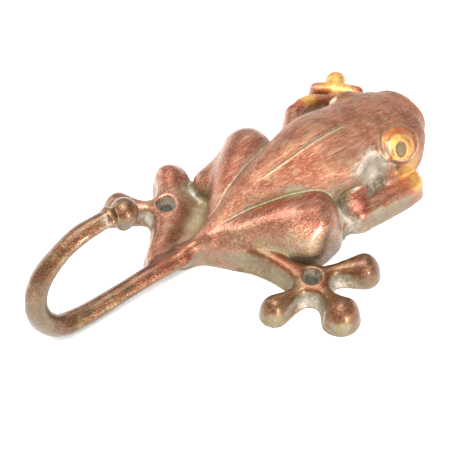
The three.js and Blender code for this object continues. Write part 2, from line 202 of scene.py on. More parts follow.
# The casting's unevenness: the size of its lumps, their height and their random seed.
LATTICE = 32                         # the lumps repeat after this many
UNEVENNESS = [(5.0, 0.10, 11), (1.9, 0.05, 12)]
DIP_BLUR, CREASE_BLUR = 2.2, 0.8     # how wide a hollow or a crease is, for its dirt to show
NEAR = 6                             # fields further off than this say nothing about dirt


def grid(low, high):
    """The x, y and z places of a grid over a box."""
    return [np.arange(a, b + STEP, STEP, dtype=np.float32) for a, b in zip(low, high)]


def smooth_stations(stations, between=6):
    """A Catmull-Rom curve through stations, as a dense list of them."""
    rows = np.array(stations, dtype=np.float64)
    ends = np.vstack([2 * rows[0] - rows[1], rows, 2 * rows[-1] - rows[-2]])
    dense = []
    for a, b, c, d in zip(ends, ends[1:], ends[2:], ends[3:]):
        for t in np.arange(between) / between:
            dense.append(0.5 * (2 * b + (c - a) * t + (2 * a - 5 * b + 4 * c - d) * t**2
                                + (3 * b - a - 3 * c + d) * t**3))
    return np.array(dense + [rows[-1]])


def soft_min(a, b, radius):
    """The union of two fields, with a fillet of about this radius."""
    h = np.clip(0.5 + 0.5 * (b - a) / radius, 0, 1)
    return b + (a - b) * h - radius * h * (1 - h)


def soft_max(a, b, radius):
    """What two fields share, with its edges rounded to about this radius."""
    return -soft_min(-a, -b, radius)


def window(axes, low, high):
    """The slices of a grid that cover a box."""
    return tuple(slice(max(0, np.searchsorted(axis, a) - 1), np.searchsorted(axis, b) + 1)
                 for axis, a, b in zip(axes, low, high))


def along_plan(stations, xs, ys, reach):
    """For each place of the plan: the distance from the line of stations, and the sizes there.

    Past the last station distances are divided by reach, so a low reach gives a blunt end.
    """
    x, y = np.meshgrid(xs, ys, indexing="ij")
    best = np.full(x.shape, np.inf, dtype=np.float32)
    found = np.zeros((4, *x.shape), dtype=np.float32)
    dense = smooth_stations(stations)
    end = dense[-1, :2] - dense[-2, :2]
    end = end / np.linalg.norm(end)
    beyond = np.clip((x - dense[-1, 0]) * end[0] + (y - dense[-1, 1]) * end[1], 0, None) * (1 / reach - 1)
    x, y = x + beyond * end[0], y + beyond * end[1]
    for a, b in zip(dense[:-1], dense[1:]):
        run = b[:2] - a[:2]
        t = np.clip(((x - a[0]) * run[0] + (y - a[1]) * run[1]) / max(run @ run, 1e-9), 0, 1)
        away = np.hypot(x - a[0] - t * run[0], y - a[1] - t * run[1])
        closer = away < best
        best = np.where(closer, away, best)
        values = (away, *(a[k] + t * (b[k] - a[k]) for k in (2, 3, 4)))
        for k, value in enumerate(values):
            found[k] = np.where(closer, value, found[k])
    return np.stack([blurred(value, PLAN_BLUR) for value in found])


def blurred(field, spread):
    """A field or a plan blurred by a Gaussian of this spread, in millimetres."""
    reach = int(math.ceil(2.5 * spread / STEP))
    weights = np.exp(-0.5 * (np.arange(-reach, reach + 1) * STEP / spread) ** 2)
    weights = (weights / weights.sum()).astype(np.float32)
    for axis in range(field.ndim):
        pads = [(reach, reach) if k == axis else (0, 0) for k in range(field.ndim)]
        padded = np.pad(field, pads, mode="edge")
        length = field.shape[axis]
        field = sum(w * padded[(slice(None),) * axis + (slice(i, i + length),)]
                    for i, w in enumerate(weights))
    return field


def add_limb(field, axes, stations, radius, floor=None, reach=1, flare=FLARE):
    """Joins a flat-backed limb to a field, with a fillet."""
    rows = np.array(stations, dtype=float)
    spread = rows[:, 2].max() + REACH
    low = [rows[:, 0].min() - spread, rows[:, 1].min() - spread, axes[2][0]]
    high = [rows[:, 0].max() + spread, rows[:, 1].max() + spread, rows[:, 3].max() + REACH]
    part = window(axes, low, high)
    xs, ys, zs = (axis[piece] for axis, piece in zip(axes, part))
    away, half, top, crown = along_plan(stations, xs, ys, reach)[:, :, :, None]
    spring = top - crown
    z = zs[None, None, :]
    side = away - flare * np.minimum(spring, LOW_WALL) * np.clip(1 - z / spring, 0, 1) ** 2
    side = np.maximum(side, 0.05)
    rise = np.clip(z - spring, 0, None)
    size = np.sqrt((side / half) ** 2 + (rise / crown) ** 2)
    slope = np.sqrt((side / half**2) ** 2 + (rise / crown**2) ** 2)
    limb = size * (size - 1) / slope
    if floor is not None:
        limb = soft_max(limb, floor - z, CHIN_FILLET)
    field[part] = soft_min(field[part], limb, radius)


def add_ball(field, axes, centre, half_sizes, radius):
    """Joins an ellipsoid to a field, with a fillet."""
    spread = max(half_sizes) + REACH
    part = window(axes, [c - spread for c in centre], [c + spread for c in centre])
    xs, ys, zs = (axis[piece] for axis, piece in zip(axes, part))
    offsets = (xs[:, None, None] - centre[0], ys[None, :, None] - centre[1], zs[None, None, :] - centre[2])
    size = np.sqrt(sum((o / h) ** 2 for o, h in zip(offsets, half_sizes)) + 1e-6)
    slope = np.sqrt(sum((o / h**2) ** 2 for o, h in zip(offsets, half_sizes)) + 1e-8)
    field[part] = soft_min(field[part], size * (size - 1) / slope, radius)


def add_web(field, axes, outline, top, radius):
    """Joins a low plate to a field, with a fillet."""
    corners = np.array(outline, dtype=float)
    part = window(axes, [*(corners.min(0) - REACH), axes[2][0]], [*(corners.max(0) + REACH), top + REACH])
    xs, ys, zs = (axis[piece] for axis, piece in zip(axes, part))
    x, y = xs[:, None], ys[None, :]
    edge = np.full((len(xs), len(ys)), np.inf)
    inside = np.zeros((len(xs), len(ys)), dtype=bool)
    for a, b in zip(corners, np.roll(corners, -1, axis=0)):
        run = b - a
        t = np.clip(((x - a[0]) * run[0] + (y - a[1]) * run[1]) / (run @ run), 0, 1)
        edge = np.minimum(edge, np.hypot(x - a[0] - t * run[0], y - a[1] - t * run[1]))
        crosses = (a[1] > y) != (b[1] > y)
        level = run[1] if run[1] else 1e-9
        inside ^= crosses & (x < a[0] + (y - a[1]) * run[0] / level)
    outline_field = np.where(inside, -edge, edge).astype(np.float32)[:, :, None]
    plate = soft_max(outline_field, zs[None, None, :] - top, WEB_EDGE)
    field[part] = soft_min(field[part], plate, radius)


# ---------------------------------------------------------------- the castings

Casting = namedtuple("Casting", "node slot fillet tail_fillet crease marks")

# Each casting: the CAD node it stands for, its material slot, its fillet where it joins what comes before it
# in this list (toward the head, and toward the tail), how deep the crease is there, and which way its brush
# marks run, in degrees from x.
CASTINGS = {
    "trunk": Casting("trunk_shell", "body_patina", 0, 0, 0, 0),
    "right_hind_leg": Casting("right_hind_leg", "body_patina", 6.0, 5.0, 0.5, -25),
    "left_hind_leg": Casting("left_hind_leg", "body_patina", 4.5, 5.0, 0.5, 40),
    "right_hind_foot": Casting("right_hind_foot", "body_patina", 2.2, 7.0, 0.12, -60),
    "left_hind_foot": Casting("left_hind_foot", "body_patina", 3.0, 4.0, 0, 60),
    "right_foreleg": Casting("right_foreleg", "foreleg_patina", 2.4, 2.4, 0.1, 0),
    "left_foreleg": Casting("left_foreleg", "foreleg_patina", 2.4, 2.4, 0.1, 20),
    "hook": Casting("hook_rod", "hook_bronze", 5.0, 5.0, 0, 0),
    "ball": Casting("hook_ball", "hook_bronze", 0.8, 0.8, 0.1, 0),
}
HEADWARD_X, TAILWARD_X = -6, -15     # where a fillet turns from the one size into the other


def limbs_of_castings(axes):
    """Each casting's own field over a grid, by name, before they meet."""
    shape = tuple(len(axis) for axis in axes)
    fields = {name: np.full(shape, FAR, dtype=np.float32) for name in CASTINGS}

    trunk = fields["trunk"]
    add_limb(trunk, axes, TRUNK, FIRST)
    add_limb(trunk, axes, SKULL, SKULL_FILLET, CHIN_Z, SNOUT_REACH)
    for eyeball in EYEBALLS:
        add_ball(trunk, axes, eyeball, (EYE_RADIUS,) * 3, EYE_FILLET)
    trunk[:] = cut_neck(trunk, axes)
    add_web(trunk, axes, RIGHT_WEB, RIGHT_WEB_TOP, RIGHT_WEB_FILLET)

    leg = fields["right_hind_leg"]
    add_limb(leg, axes, RIGHT_THIGH, FIRST)
    add_limb(leg, axes, RIGHT_SHIN, RIGHT_SHIN_FILLET)

    foot = fields["right_hind_foot"]
    add_limb(foot, axes, RIGHT_INSTEP, FIRST, flare=FOOT_FLARE)
    for toe in RIGHT_TOES:
        add_limb(foot, axes, toe, TOE_FILLET, flare=FOOT_FLARE)

    leg = fields["left_hind_leg"]
    add_limb(leg, axes, LEFT_THIGH, FIRST)
    add_limb(leg, axes, LEFT_SHIN, LEFT_SHIN_FILLET)

    foot = fields["left_hind_foot"]
    add_limb(foot, axes, LEFT_HUB, FIRST, flare=FOOT_FLARE)
    for toe in LEFT_TOES:
        add_limb(foot, axes, toe, TOE_FILLET, flare=FOOT_FLARE)
    add_web(foot, axes, LEFT_WEB, LEFT_WEB_TOP, LEFT_WEB_FILLET)

    arm = fields["right_foreleg"]
    add_limb(arm, axes, RIGHT_UPPER_ARM, FIRST)
    add_limb(arm, axes, RIGHT_FOREARM, ELBOW_FILLET)

    arm = fields["left_foreleg"]
    add_limb(arm, axes, LEFT_UPPER_ARM, FIRST)
    add_limb(arm, axes, LEFT_FOREARM, ELBOW_FILLET)
    add_web(arm, axes, LEFT_ARM_WEB, ARM_WEB_TOP, ARM_WEB_FILLET)
    for finger in LEFT_HAND:
        add_limb(arm, axes, finger, FINGER_FILLET)

    add_rod(fields["hook"], axes)
    add_ball(fields["hook"], axes, *COLLAR, COLLAR_FILLET)
    add_ball(fields["ball"], axes, *BALL, FIRST)
    add_ball(fields["ball"], axes, *BALL_NIB, NIB_FILLET)
    return fields


def add_rod(field, axes):
    """The hook's rod: a thick bent bar with soft edges."""
    rows = np.array(HOOK_LINE, dtype=float)
    low = [rows[:, 0].min() - REACH, -REACH, axes[2][0]]
    high = [rows[:, 0].max() + REACH, REACH, rows[:, 1].max() + REACH]
    part = window(axes, low, high)
    xs, ys, zs = (axis[piece] for axis, piece in zip(axes, part))
    x, z = xs[:, None], zs[None, :]
    best = np.full((len(xs), len(zs)), np.inf, dtype=np.float32)
    radius = np.zeros_like(best)
    dense = smooth_stations(HOOK_LINE)
    for a, b in zip(dense[:-1], dense[1:]):
        run = b[:2] - a[:2]
        t = np.clip(((x - a[0]) * run[0] + (z - a[1]) * run[1]) / (run @ run), 0, 1)
        away = np.hypot(x - a[0] - t * run[0], z - a[1] - t * run[1])
        closer = away < best
        best = np.where(closer, away, best)
        radius = np.where(closer, a[2] + t * (b[2] - a[2]), radius)
    across = np.abs(ys)[None, :, None]
    round_size = (best[:, None, :] ** ROD_POWER + across**ROD_POWER) ** (1 / ROD_POWER)
    field[part] = np.minimum(field[part], round_size - radius[:, None, :])


def whole_frog(axes):
    """The finished surface's field over a grid, where pale lines and painted highlights run on it, and each
    casting's own field.
    """
    fields = limbs_of_castings(axes)
    tailward = np.clip((HEADWARD_X - axes[0]) / (HEADWARD_X - TAILWARD_X), 0, 1)[:, None, None]
    whole = fields["trunk"]
    crease = np.zeros_like(whole)
    for name, casting in list(CASTINGS.items())[1:]:
        own = fields[name]
        fillet = casting.fillet + (casting.tail_fillet - casting.fillet) * tailward
        depth = casting.crease * (1 - tailward)
        crease += depth * bump(own - whole, CREASE_WIDTH) * bump(own, CREASE_REACH * fillet)
        whole = soft_min(whole, own, fillet)
    whole = whole + crease
    lines = 2 * crease
    engrave_spine(whole, lines, axes)
    for eye in (RIGHT_EYE, LEFT_EYE):
        engrave_eye(whole, lines, axes, eye)
    whole = cut_screw_holes(whole, lines, axes)
    whole = cut_hollow(whole, axes)
    return np.maximum(whole, -axes[2][None, None, :]), lines, fields


def cut_neck(trunk, axes):
    """A soft hollow in each flank behind the cheek, and crisper ones round the right upper arm."""
    for hollows, softness in ((NECK_HOLLOWS, NECK_EDGE), (ARM_HOLLOWS, ARM_EDGE)):
        space = np.full_like(trunk, FAR)
        for centre, halves in hollows:
            add_ball(space, axes, centre, halves, BETWEEN_HOLLOWS)
        trunk = soft_max(trunk, -space, softness)
    return trunk


def beside_line(points, x, y):
    """How far places of the plan lie to the left of a line through points, and how far along it (0 to 1)."""
    dense = smooth_stations(points)
    best = np.full(np.broadcast(x, y).shape, np.inf)
    signed, along = np.zeros_like(best), np.zeros_like(best)
    for k, (a, b) in enumerate(zip(dense[:-1], dense[1:])):
        run = b - a
        t = np.clip(((x - a[0]) * run[0] + (y - a[1]) * run[1]) / (run @ run), 0, 1)
        across, ahead = y - a[1] - t * run[1], x - a[0] - t * run[0]
        away = np.hypot(across, ahead)
        closer = away < best
        best = np.where(closer, away, best)
        left = np.where(run[0] * across - run[1] * ahead < 0, -away, away)
        signed = np.where(closer, left, signed)
        along = np.where(closer, (k + t) / (len(dense) - 1), along)
    return signed, along


def engrave_spine(whole, lines, axes):
    """The groove down the back, with a raised lip on its near side and a highlight painted along the lip."""
    left, along = beside_line(SPINE, axes[0][:, None], axes[1][None, :])
    ends = np.clip(np.minimum(along, 1 - along) / SPINE_FADE, 0, 1)
    near_back = np.clip((axes[2][None, None, :] - BACK_Z) / BACK_FADE, 0, 1)
    groove, lip, pale = (ends * bump(left - place, width)
                         for place, width in (SPINE_GROOVE_AT, SPINE_LIP_AT, SPINE_HIGHLIGHT_AT))
    profile = SPINE_DEPTH * groove - SPINE_LIP * lip
    whole += profile[:, :, None].astype(np.float32) * near_back
    # A painted highlight along the lip.
    lines += pale[:, :, None].astype(np.float32) * near_back


def eye_places(x, y, z, eye):
    """Places seen straight at an eye: toward the snout from, above and out from the middle of its pupil."""
    centre, right, above = eye
    outward = np.cross(right, above)
    outward = outward if outward[2] > 0 else -outward
    offset = (x - centre[0], y - centre[1], z - centre[2])
    return [sum(o * d for o, d in zip(offset, axis)) for axis in (right, above, outward)]


def bump(distance, width):
    """A smooth hump: 1 where the distance is 0, and nearly 0 two widths away."""
    return np.exp(-((distance / width) ** 2))


def oval(right, above, centre, halves):
    """How far a place is out from an oval's middle, as a share of the oval's half sizes."""
    return np.hypot((right - centre[0]) / halves[0], (above - centre[1]) / halves[1])


def eye_rings(right, above):
    """How far a place is out from the middle of the orbit, in millimetres; of the boss; and of the pupil."""
    return oval(right, above, ORBIT_CENTRE, (1, 1)), oval(right, above, *BOSS), oval(right, above, *PUPIL)


def eye_profile(x, y, z, eye):
    """How much lower the surface is at each place round an eye, and where a highlight is painted on it.

    A highlight is painted along its brow, and as a strip beside the boss.
    """
    right, above, out = eye_places(x, y, z, eye)
    orbit, boss, pupil = eye_rings(right, above)
    upper = np.clip((above + 4.5) / 1.5, 0, 1)
    orbit_groove = (0.6 - 0.05 * right) * bump(orbit - ORBIT_GROOVE, 1.2) * upper
    brow = 0.4 * bump(orbit - BROW, 0.6) * upper
    raised_boss = 1.2 * np.clip((1.25 - boss) / 0.3, 0, 1)
    ring = 0.35 * bump(boss - RING, 0.07)
    sunk_pupil = 0.8 * np.clip((1.25 - pupil) / 0.4, 0, 1)
    lid_ends = np.clip((7.5 - np.abs(right)) / 1.5, 0, 1)
    lid = 0.5 * bump(above - LOWER_LID, 0.5) * lid_ends
    tear_pit = 0.9 * np.clip(1.3 - oval(right, above, *TEAR_PIT), 0, 1)
    depth = orbit_groove - brow - raised_boss + ring + sunk_pupil + lid + tear_pit
    near = np.clip((out + 9) / 3, 0, 1) * np.clip((11.5 - np.hypot(right, above)) / 2, 0, 1)
    # Painted highlights: a thin pale line along the brow, and a vertical strip on the flank of the boss.
    strip = 2 * bump(right - HIGHLIGHT_STRIP, 0.9) * np.clip(3.6 - np.abs(above), 0, 1)
    return depth * near, (bump(orbit - BROW_HIGHLIGHT, 0.4) * upper + strip) * near


def engrave_eye(whole, lines, axes, eye):
    """The rings, pupil and lower lid of an eye, cut into the whole surface, and its painted highlights."""
    part = window(axes, [c - EYE_REACH for c in eye[0]], [c + EYE_REACH for c in eye[0]])
    xs, ys, zs = (axis[piece] for axis, piece in zip(axes, part))
    depth, pale = eye_profile(xs[:, None, None], ys[None, :, None], zs[None, None, :], eye)
    whole[part] += depth
    lines[part] += pale


def cut_screw_holes(whole, lines, axes):
    """A countersunk hole through each hind foot, with a highlight painted round its rim."""
    x, y, z = axes[0][:, None, None], axes[1][None, :, None], axes[2][None, None, :]
    for screw in (RIGHT_SCREW, LEFT_SCREW):
        around = np.hypot(x - screw[0], y - screw[1])
        slope = (SINK_RADIUS - SCREW_RADIUS) / SINK_DEPTH
        sink = around - SCREW_RADIUS - slope * (z - HUB_TOP + SINK_DEPTH)
        hole = np.minimum(around - SCREW_RADIUS, sink * 0.8)
        whole = soft_max(whole, -hole, HOLE_EDGE)
        # A highlight painted round the countersink's rim.
        lines += RIM_HIGHLIGHT * bump(around - SINK_RADIUS, RIM_WIDTH) * np.clip(z - HUB_TOP + 2, 0, 1)
    return whole


def cut_hollow(whole, axes):
    """The open hollow in the trunk's back."""
    hollow = np.full_like(whole, FAR)
    add_limb(hollow, axes, HOLLOW, FIRST)
    return soft_max(whole, -hollow, HOLLOW_EDGE)


# ---------------------------------------------------------------- from field to mesh

CORNERS = np.array([(i, j, k) for i in (0, 1) for j in (0, 1) for k in (0, 1)])
CELL_EDGES = [(a, b) for a in range(8) for b in range(a, 8) if np.abs(CORNERS[a] - CORNERS[b]).sum() == 1]


def surface_nets(field, axes):
    """The zero surface of a field: one point in each cell that it crosses, joined by quads."""
    inside = field < 0
    cells_shape = tuple(n - 1 for n in field.shape)
    count = np.zeros(cells_shape, dtype=np.int8)
    for i, j, k in CORNERS:
        count += inside[i:i + cells_shape[0], j:j + cells_shape[1], k:k + cells_shape[2]]
    mixed = (count > 0) & (count < 8)
    cells = np.argwhere(mixed)
    index = np.full(cells_shape, -1, dtype=np.int64)
    index[mixed] = np.arange(len(cells))

    values = np.stack([field[tuple((cells + corner).T)] for corner in CORNERS], axis=1)
    total = np.zeros((len(cells), 3))
    hits = np.zeros(len(cells))
    for a, b in CELL_EDGES:
        crossing = (values[:, a] < 0) != (values[:, b] < 0)
        change = np.where(crossing, values[:, a] - values[:, b], 1)
        t = (values[:, a] / change)[:, None]
        total += crossing[:, None] * (CORNERS[a] + t * (CORNERS[b] - CORNERS[a]))
        hits += crossing
    origin = np.array([axis[0] for axis in axes])
    points = origin + (cells + total / hits[:, None]) * STEP

    quads = []
    for axis in range(3):
        ahead = np.roll(inside, -1, axis=axis)
        changes = inside != ahead
        side_b, side_c = np.eye(3, dtype=int)[(axis + 1) % 3], np.eye(3, dtype=int)[(axis + 2) % 3]
        at = np.argwhere(changes)
        fits = np.all(at < np.array(cells_shape), axis=1) & (at[:, (axis + 1) % 3] > 0)
        at = at[fits & (at[:, (axis + 2) % 3] > 0)]
        ring = [index[tuple((at - shift).T)] for shift in (0 * side_b, side_b, side_b + side_c, side_c)]
        ring = np.stack(ring, axis=1)
        leaving = inside[tuple(at.T)]
        quads.append(np.where(leaving[:, None], ring, ring[:, ::-1]))
    return points, np.concatenate(quads)


def sample(field, axes, points):
    """A grid's values at any points inside it, by trilinear interpolation."""
    origin = np.array([axis[0] for axis in axes])
    place = (points - origin) / STEP
    place = np.clip(place, 0, np.array(field.shape) - 1.001)
    base = place.astype(int)
    part = place - base
    value = np.zeros(len(points))
    for corner in CORNERS:
        weight = np.prod(np.where(corner, part, 1 - part), axis=1)
        value += weight * field[tuple((base + corner).T)]
    return value


def slopes(field, axes, points):
    """The field's gradient at points."""
    result = np.zeros_like(points)
    for k, step in enumerate(np.eye(3) * STEP):
        result[:, k] = (sample(field, axes, points + step) - sample(field, axes, points - step)) / (2 * STEP)
    return result


def lumps(points, size, seed):
    """Smooth random unevenness between -1 and 1, with lumps of about this size."""
    lattice = np.random.default_rng(seed).uniform(-1, 1, (LATTICE,) * 3)
    place = points / size
    base = np.floor(place).astype(int)
    part = place - base
    part = part * part * (3 - 2 * part)
    value = np.zeros(len(points))
    for corner in CORNERS:
        weight = np.prod(np.where(corner, part, 1 - part), axis=1)
        value += weight * lattice[tuple(((base + corner) % LATTICE).T)]
    return value


# Where the finish changes over the whole frog: x, y, z and how far round it.
TINTS = {
    "gilt": [
        (67, -19, 26, 6), (70, -21, 15, 9), (72, -25, 10, 8), (80, 40, 7, 12), (62, 37, 11, 7),
        (88, 2, 22, 5),
    ],
    "chalky": [
        (53, -14, 25, 7), (54, -17, 17, 7), (58, -16, 21, 5), (48, -14, 24, 5), (36, -22, 6, 7),
        (-25, 26, 4, 4), (-4, 26, 5, 3), (-6, -8, 12, 4), (62, 28, 4, 9), (2, -45, 2, 4), (16, -46, 2, 5),
        (-60, 0, 54, 4),
    ],
    # Olive patina; the spots at (-10, 25), (-12, 20) and (57, 39) also paint light onto places that lie in
    # shade.
    "mossy": [
        (2, -14, 13, 6), (9, -20, 13, 7), (16, -25, 12, 7), (50, -27.5, 7, 4), (57, -28, 7, 4),
        (64, -28, 7, 4), (2, -45, 5, 6), (16, -47, 5, 7), (-6, -18, 3, 4), (-8, -14, 6, 5),
        (-12, 13, 4, 8), (-10, 25, 8, 5), (-12, 20, 5, 4), (58, 33, 11, 4), (57, 39, 8, 4),
        (-8, -21, 4, 6), (-1, -28, 4, 5), (44, -10, 16, 6), (12, 8, 22, 4), (20, -10, 24, 4),
        (-14, -44, 4, 4), (4, -62, 5, 4),
    ],
    "ruddy": [
        (8, -12, 22, 8), (20, -20, 20, 8), (6, 15, 20, 9), (16, 22, 22, 8), (-26, 1, 9, 8),
        (46, -18, 13, 5), (26, -6, 31, 9), (-9, 35, 9, 6), (3, -26, 11, 6), (8, -42, 9, 4),
        (-36, 0, 9, 8), (69, -20, 13, 5),
    ],
    "sooty": [
        (-33, 38, 8, 7), (31, -45, 8, 6), (10, -55, 10, 4), (-12, -39, 10, 3), (-30, 3, 10, 4),
        (-42, 2, 10, 5), (-86, 0, 12, 6), (-84, 0, 42, 5), (52, -20, 12, 3), (1, -16, 8, 4),
        (50, -27.5, 6, 5), (57, -28, 6, 5), (64, -28, 6, 5),
    ],
}
FAR_EYE_GILDING = 0.2                # the left eye's gold is mostly worn off


def tinted(points, spots):
    """How far each point lies inside any of the spots, from 0 to 1."""
    rows = np.array(spots)
    return np.max([bump(np.linalg.norm(points - row[:3], axis=1), row[3]) for row in rows], axis=0)


def eye_finish(points):
    """Where an eye is gilded, and where it is dull: its pupil and the shade under its brow."""
    gilded, dull = np.zeros(len(points)), np.zeros(len(points))
    for eye, gilding in ((RIGHT_EYE, 1), (LEFT_EYE, FAR_EYE_GILDING)):
        right, above, out = eye_places(*points.T, eye)
        orbit, boss, pupil = eye_rings(right, above)
        near = (out > -6) * np.clip((7.8 - orbit) / 0.8, 0, 1)
        iris = np.clip((pupil - 1.0) / 0.25, 0, 1)
        shade = bump(orbit - BROW_SHADE, 0.8) * np.clip((above - 6) / 3, 0, 1)
        orange = 0.2 * np.clip((pupil - 1.5) / 0.2, 0, 1) + 0.15 * np.clip((boss - 1.05) / 0.15, 0, 1)
        gilded += gilding * near * iris * (1 - shade) * (1 - orange)
        dull += near * np.maximum(1 - iris, shade)
    return gilded, dull


def in_screw_hole(points):
    """1 inside a screw hole and its countersink, 0 outside."""
    screws = (RIGHT_SCREW, LEFT_SCREW)
    around = np.min([np.hypot(points[:, 0] - x, points[:, 1] - y) for x, y in screws], axis=0)
    return np.clip(2 * (SINK_RADIUS - around), 0, 1)


def casting_shape(name):
    """A casting's points, quads and the measures that its patina is worked out from."""
    low, high = (np.array(corner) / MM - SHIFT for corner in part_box(CASTINGS[name].node))
    axes = grid(low - GRID_MARGIN, high + GRID_MARGIN)
    whole, lines, fields = whole_frog(axes)
    own = fields.pop(name)
    others = np.min(list(fields.values()), axis=0)
    past = (own - others) / 2
    field = np.maximum(whole + SINK * np.clip(past, 0, None), past - OVERLAP)
    for axis in range(3):
        edge = np.moveaxis(field, axis, 0)
        edge[0] = edge[-1] = STEP
    points, quads = surface_nets(field, axes)
    for _ in range(REFINEMENTS):
        slope = slopes(field, axes, points)
        length = np.sum(slope**2, axis=1) + 1e-3
        move = slope * (sample(field, axes, points) / length)[:, None]
        points = points - np.clip(move, -STEP / 2, STEP / 2)

    seen = sample(past, axes, points) < OVERLAP / 2
    slope = np.where(seen[:, None], slopes(whole, axes, points), slopes(field, axes, points))
    normal = slope / (np.linalg.norm(slope, axis=1)[:, None] + 1e-6)
    near = np.clip(whole, -NEAR, NEAR)
    measures = {
        "dip": sample(near - blurred(near, DIP_BLUR), axes, points),
        "crease": sample(near - blurred(near, CREASE_BLUR), axes, points),
        "up": normal[:, 2],
        "line": sample(lines, axes, points),
        "low": np.clip(1 - points[:, 2] / LOW_GRIME, 0, 1),
        **{tint: tinted(points, spots) for tint, spots in TINTS.items()},
    }
    gilded, dull = eye_finish(points)
    measures["gilt"] = np.maximum(measures["gilt"] * (1 - dull), gilded)
    # The pupil and the painted shade under an eye's brow take the mossy stain as well.
    measures["mossy"] = np.maximum(measures["mossy"], dull)
    hole = in_screw_hole(points)
    measures["chalky"] = np.maximum(measures["chalky"], HOLE_CHALK * hole)
    # Painted shade: the pupils are darkened, and shade is painted under the eye's brow and down each screw
    # hole, darkest at its bottom.
    deep = np.clip(DEEPEST_SHADE - points[:, 2] / SINK_DEPTH, 0, DEEPEST_SHADE)
    measures["shade"] = np.maximum(dull, hole * deep)
    uneven = sum(height * lumps(points, size, seed) for size, height, seed in UNEVENNESS)
    on_back = points[:, 2] < STEP
    points = points + normal * np.where(on_back, 0, uneven)[:, None]
    return points, quads, normal, measures


def made_piece(name):
    """A casting as a Blender object on the frame."""
    casting = CASTINGS[name]
    points, quads, normals, measures = casting_shape(name)
    mesh = bpy.data.meshes.new(name + "_casting")
    mesh.from_pydata(((points + SHIFT) * MM).tolist(), [], quads.tolist())
    mesh.shade_smooth()
    mesh.normals_split_custom_set_from_vertices(normals.tolist())
    for measure, values in measures.items():
        layer = mesh.attributes.new(measure, "FLOAT", "POINT")
        layer.data.foreach_set("value", values.astype(np.float32))
    piece = bpy.data.objects.new(name + "_casting", mesh)
    bpy.context.scene.collection.objects.link(piece)
    mesh.materials.append(PATINAS[name](name + "_patina", casting.marks))
    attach(piece, "root")
    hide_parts(casting.node)


# ---------------------------------------------------------------- patina


def from_srgb(*parts):
    """A colour as a screen shows it (0 to 255), as the linear colour that a shader takes."""
    linear = [(v / 255 / 12.92) if v < 11 else ((v / 255 + 0.055) / 1.055) ** 2.4 for v in parts]
    return (*linear, 1)


COPPER = from_srgb(166, 110, 84)
RUSSET = from_srgb(138, 86, 64)
RUDDY = from_srgb(142, 66, 44)
ROSE = from_srgb(203, 168, 140)
UMBER = from_srgb(82, 56, 40)
BROWN = from_srgb(108, 80, 44)
RUST = from_srgb(106, 62, 38)
BRONZE = from_srgb(92, 70, 42)
TAN = from_srgb(176, 134, 92)
OLIVE = from_srgb(134, 118, 76)
MOSS = from_srgb(160, 144, 104)
VERDIGRIS = from_srgb(136, 132, 116)
CHALK = from_srgb(206, 198, 184)
STRAW = from_srgb(214, 202, 168)
# The colour of painted shade.
SHADE_SLATE = from_srgb(92, 84, 62)
GOLD = from_srgb(236, 182, 92)
ORANGE = from_srgb(200, 104, 54)

METALLIC, COAT, COAT_ROUGHNESS = 0.7, 0.4, 0.12
POLISH = 0.12                        # the roughness where the metal is cleanest
CROSSING = 65                        # degrees between the two ways it was brushed
BRUSH_DEPTH, GRIT_DEPTH = 0.1, 0.15


class Patina:
    """A material's node tree, with short ways of adding to it."""

    def __init__(self, name):
        self.material = bpy.data.materials.new(name)
        self.material.use_nodes = True
        self.tree = self.material.node_tree
        self.shader = self.tree.nodes["Principled BSDF"]
        self.place = self.tree.nodes.new("ShaderNodeTexCoord").outputs["Object"]

    def give(self, socket, value):
        if isinstance(value, bpy.types.NodeSocket):
            self.tree.links.new(value, socket)
        else:
            socket.default_value = value

    def measure(self, name):
        node = self.tree.nodes.new("ShaderNodeAttribute")
        node.attribute_name = name
        return node.outputs["Fac"]

    def noise(self, size, detail=3.0, roughness=0.6, stretch=(1, 1, 1), turn=0.0, warp=0.0):
        """Noise between 0 and 1 with lumps of about this many millimetres."""
        mapping = self.tree.nodes.new("ShaderNodeMapping")
        self.give(mapping.inputs["Vector"], self.place)
        mapping.inputs["Rotation"].default_value = (0, 0, -math.radians(turn))
        mapping.inputs["Scale"].default_value = [1 / (size * MM * part) for part in stretch]
        node = self.tree.nodes.new("ShaderNodeTexNoise")
        self.give(node.inputs["Vector"], mapping.outputs["Vector"])
        node.inputs["Scale"].default_value = 1
        node.inputs["Detail"].default_value = detail
        node.inputs["Roughness"].default_value = roughness
        node.inputs["Distortion"].default_value = warp
        return node.outputs["Fac"]

    def math(self, operation, *values):
        node = self.tree.nodes.new("ShaderNodeMath")
        node.operation = operation
        for socket, value in zip(node.inputs, values):
            self.give(socket, value)
        return node.outputs["Value"]

    def add(self, *values):
        total = values[0]
        for value in values[1:]:
            total = self.math("ADD", total, value)
        return total

    def scaled(self, value, factor, offset=0.0):
        return self.math("MULTIPLY_ADD", value, factor, offset)

    def ramp(self, value, low, high):
        """0 below low, 1 above high, smooth between."""
        node = self.tree.nodes.new("ShaderNodeMapRange")
        node.interpolation_type = "SMOOTHSTEP"
        self.give(node.inputs["Value"], value)
        node.inputs["From Min"].default_value = low
        node.inputs["From Max"].default_value = high
        return node.outputs["Result"]

    def mix(self, factor, a, b):
        node = self.tree.nodes.new("ShaderNodeMix")
        node.data_type = "RGBA"
        self.give(node.inputs["Factor"], factor)
        self.give(node.inputs[6], a)
        self.give(node.inputs[7], b)
        return node.outputs[2]

    def bump(self, height, distance, under=None):
        node = self.tree.nodes.new("ShaderNodeBump")
        node.inputs["Strength"].default_value = 1.0
        node.inputs["Distance"].default_value = distance * MM
        self.give(node.inputs["Height"], height)
        if under is not None:
            self.give(node.inputs["Normal"], under)
        return node.outputs["Normal"]


